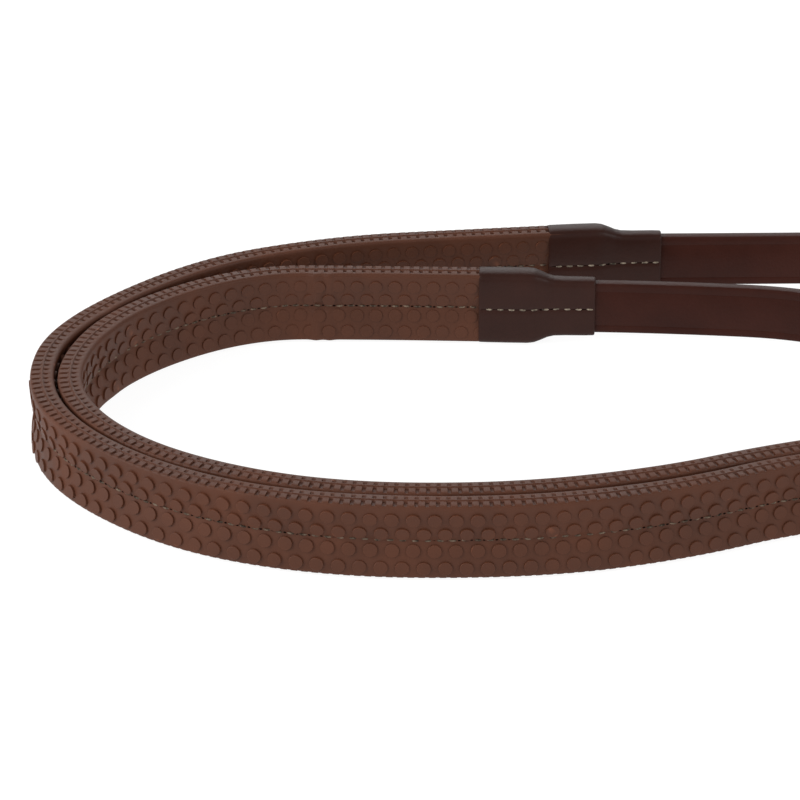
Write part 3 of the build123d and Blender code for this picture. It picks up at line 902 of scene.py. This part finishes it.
def billet(side, path, seed):
    """The folded leather at the bit, with its sewn backing and its rounded tail."""
    line = bit_loop_line(path)
    ends = TAIL_ROUND * (1.0 - np.cos(np.linspace(TAIL_BLUNT, math.pi / 2, TAIL_STATIONS)))
    body = spaced(TAIL_ROUND + MM, line.length - TAIL_ROUND - MM, BILLET_STEP)
    stations = np.concatenate([[0.0], body, line.length - ends[::-1]])
    outline = strap_outline(BILLET_THICK, STRAP_WIDTH)
    sections = np.repeat(outline[None], len(stations), axis=0)
    inside = np.clip(1.0 - (line.length - stations) / TAIL_ROUND, 0.0, 1.0)
    sections[..., 1] *= np.sqrt(1.0 - TAIL_NARROWS * inside**2)[:, None]
    piece = make_mesh(side + "_billet_leather", *sweep(line, stations, sections))
    tail = -(STRAP_THICK / 2 + TAIL_AIR + BILLET_THICK / 2)
    button = path.length - HOOK_BACK - SLIT_AHEAD
    slit = oval(path, button, SLIT_LENGTH, SLIT_HEIGHT, 1.6 * BILLET_THICK, tail)
    cut_out(piece, make_mesh("slit", *slit))
    finish_piece(piece, STRAP_LEATHER, stands_for=[side + "_billet"])
    rise = STRAP_WIDTH / 2 - ROW_INSET
    face = STRAP_THICK / 2 + BILLET_THICK
    first, last = path.length - BILLET_BACKING + BILLET_ROW_START, path.length - BILLET_ROW_END
    rows = [stitch_row(path, first, last, face, way * rise, seed + way) for way in (-1, 1)]
    thread_piece(side + "_billet_stitches", rows, side + "_billet_thread")
    inner = -(STRAP_THICK / 2 + TAIL_AIR + BILLET_THICK + KEEPER_AIR_IN)
    outer = STRAP_THICK / 2 + BILLET_THICK + KEEPER_AIR_OUT
    for name, back in KEEPERS_BACK.items():
        start = path.length - back - KEEPER_LENGTH / 2
        keeper(side + "_" + name, path, start, KEEPER_LENGTH, inner, outer, KEEPER_WALL)


# ---------------------------------------------------------------- the hand buckle


CHAPE_STEP = 0.8 * MM
CHAPE_EDGE = 0.5 * MM


def chape(path, seed):
    """The fold of leather that holds the buckle's heel bar, with its slot for the prong."""
    middle = STRAP_THICK / 2 + CHAPE_THICK / 2
    heel, ahead, left = (row[0] for row in path.at(-HEEL_GAP))
    turn = np.linspace(math.pi / 2, 3 * math.pi / 2, ARC_POINTS)[1:-1]
    fold = np.array([heel + middle * (math.cos(a) * ahead + math.sin(a) * left) for a in turn])
    near = path.beside(CHAPE_LENGTH, -HEEL_GAP, middle)
    far = path.beside(-HEEL_GAP, CHAPE_LENGTH, -middle)
    line = Path(np.concatenate([near, fold, far]))
    stations = spaced(0.0, line.length, CHAPE_STEP)
    outline = strap_outline(CHAPE_THICK, STRAP_WIDTH, CHAPE_EDGE)
    piece = make_mesh("buckle_chape_leather", *sweep(line, stations, outline))
    slot = oval(path, -HEEL_GAP, CHAPE_SLOT_LENGTH, CHAPE_SLOT_HEIGHT, CHAPE_SLOT_DEPTH)
    cut_out(piece, make_mesh("slot", *slot))
    finish_piece(piece, STRAP_LEATHER, stands_for=["buckle_chape"])
    rise = STRAP_WIDTH / 2 - ROW_INSET
    face = STRAP_THICK / 2 + CHAPE_THICK
    rows = [
        stitch_row(path, CHAPE_ROW_START, CHAPE_LENGTH - CHAPE_ROW_END, -face, way * rise, seed + way)
        for way in (-1, 1)
    ]
    thread_piece("chape_stitches", rows, "chape_thread")


def hand_keepers(path):
    """The fixed keeper beside the buckle, and the loose one that slides."""
    inner = -(STRAP_THICK / 2 + CHAPE_THICK + RUNNER_AIR_IN)
    outer = POINT_OFFSET + STRAP_THICK / 2 + RUNNER_AIR_OUT
    for name, start in RUNNERS.items():
        body = "runner" if name == "runner" else ROOT
        keeper(name, path, start, RUNNER_LENGTH, inner, outer, RUNNER_WALL, body)


# ---------------------------------------------------------------- the whole object


def rein(side, path, pointed, seed):
    """One rein from its hand end to its bit end."""
    start = HAND_LENGTH[side] + BARE_END
    strap(side, path, pointed)
    grip(side, path, start, seed)
    grip_thread(side, path, start, seed + 10)
    far_end = start + GRIP_LENGTH + BARE_END
    rows = sleeve(side, "hand_sleeve", path, HAND_LENGTH[side], 1, seed + 20)
    rows += sleeve(side, "bit_sleeve", path, far_end, -1, seed + 30)
    thread_piece(side + "_sleeve_stitches", rows, side + "_sleeve_thread")
    billet(side, path, seed + 40)


def shine_metal():
    """The buckle and the hook studs keep their shapes and get polished steel."""
    for name in ("buckle_frame", "buckle_prong", "left_hook_stud", "right_hook_stud"):
        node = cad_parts[name]
        for slot in node.material_slots:
            slot.material = STEEL
        node.data.shade_smooth()
        node.data.set_sharp_from_angle(angle=METAL_EDGE)


# ---------------------------------------------------------------- camera, light, floor


SENSOR_WIDTH = 36.0
FLOOR_HALF = 8.0
WALL_LIGHT = 0.85
CEILING_LIGHT = 0.30
FLOOR_GLOW = 0.92
FLOOR_COLOUR = (0.16, 0.16, 0.16, 1.0)
WHITE = (1.0, 1.0, 1.0, 1.0)
LIGHTS = (  # name, place, size in metres, power in watts
    ("left_softbox", (-1.5, -0.5, 0.9), 1.3, 26.0),
    ("right_softbox", (1.4, -0.9, 1.0), 1.2, 12.0),
    ("back_softbox", (-0.2, 1.6, 1.3), 1.6, 16.0),
)


def add_camera():
    """The camera, without roll, aimed at its target."""
    camera = bpy.data.objects.new("camera", bpy.data.cameras.new("camera"))
    camera.data.lens = CAMERA_LENS
    camera.data.sensor_width = SENSOR_WIDTH
    back = Vector((0.0, -math.cos(CAMERA_ELEVATION), math.sin(CAMERA_ELEVATION)))
    camera.location = CAMERA_TARGET + CAMERA_DISTANCE * back
    camera.rotation_euler = (-back).to_track_quat("-Z", "Y").to_euler()
    bpy.context.scene.collection.objects.link(camera)
    bpy.context.scene.camera = camera


def add_light(name, place, size, power):
    """A soft square light that faces the middle of the reins."""
    data = bpy.data.lights.new(name, "AREA")
    data.shape = "SQUARE"
    data.size = size
    data.energy = power
    light = bpy.data.objects.new(name, data)
    light.location = place
    light.rotation_euler = (-Vector(place)).to_track_quat("-Z", "Y").to_euler()
    bpy.context.scene.collection.objects.link(light)


def add_stage():
    """A pale table that glows, so that shadows on it stay faint."""
    corners = FLOOR_HALF * np.array([(-1.0, -1.0, 0.0), (1.0, -1.0, 0.0), (1.0, 1.0, 0.0), (-1.0, 1.0, 0.0)])
    floor = make_mesh("floor", corners, [[0, 1, 2, 3]])
    material, _, _, shader, _ = new_material("pale_floor", 0.0)
    shader.inputs["Base Color"].default_value = FLOOR_COLOUR
    shader.inputs["Roughness"].default_value = 0.9
    shader.inputs["Emission Color"].default_value = WHITE
    shader.inputs["Emission Strength"].default_value = FLOOR_GLOW
    floor.data.materials.append(material)


def add_world():
    """A white room whose walls are brighter than its ceiling."""
    world = bpy.data.worlds.new("studio")
    world.use_nodes = True
    nodes, links = world.node_tree.nodes, world.node_tree.links
    place = nodes.new("ShaderNodeTexCoord")
    split = nodes.new("ShaderNodeSeparateXYZ")
    links.new(place.outputs["Generated"], split.inputs["Vector"])
    height = nodes.new("ShaderNodeMapRange")
    height.inputs["From Min"].default_value = 0.1
    height.inputs["From Max"].default_value = 0.9
    height.inputs["To Min"].default_value = WALL_LIGHT
    height.inputs["To Max"].default_value = CEILING_LIGHT
    links.new(split.outputs["Z"], height.inputs["Value"])
    links.new(height.outputs["Result"], nodes["Background"].inputs["Strength"])
    nodes["Background"].inputs["Color"].default_value = WHITE
    bpy.context.scene.world = world


bpy.context.scene.view_settings.view_transform = "Standard"
add_camera()
add_world()
add_stage()
for softbox in LIGHTS:
    add_light(*softbox)

LEFT = Path(smooth_line(LEFT_ROUTE))
RIGHT = Path(smooth_line(RIGHT_ROUTE))
rein("left", LEFT, True, 1)
rein("right", RIGHT, False, 2)
chape(RIGHT, 50)
hand_keepers(RIGHT)
shine_metal()
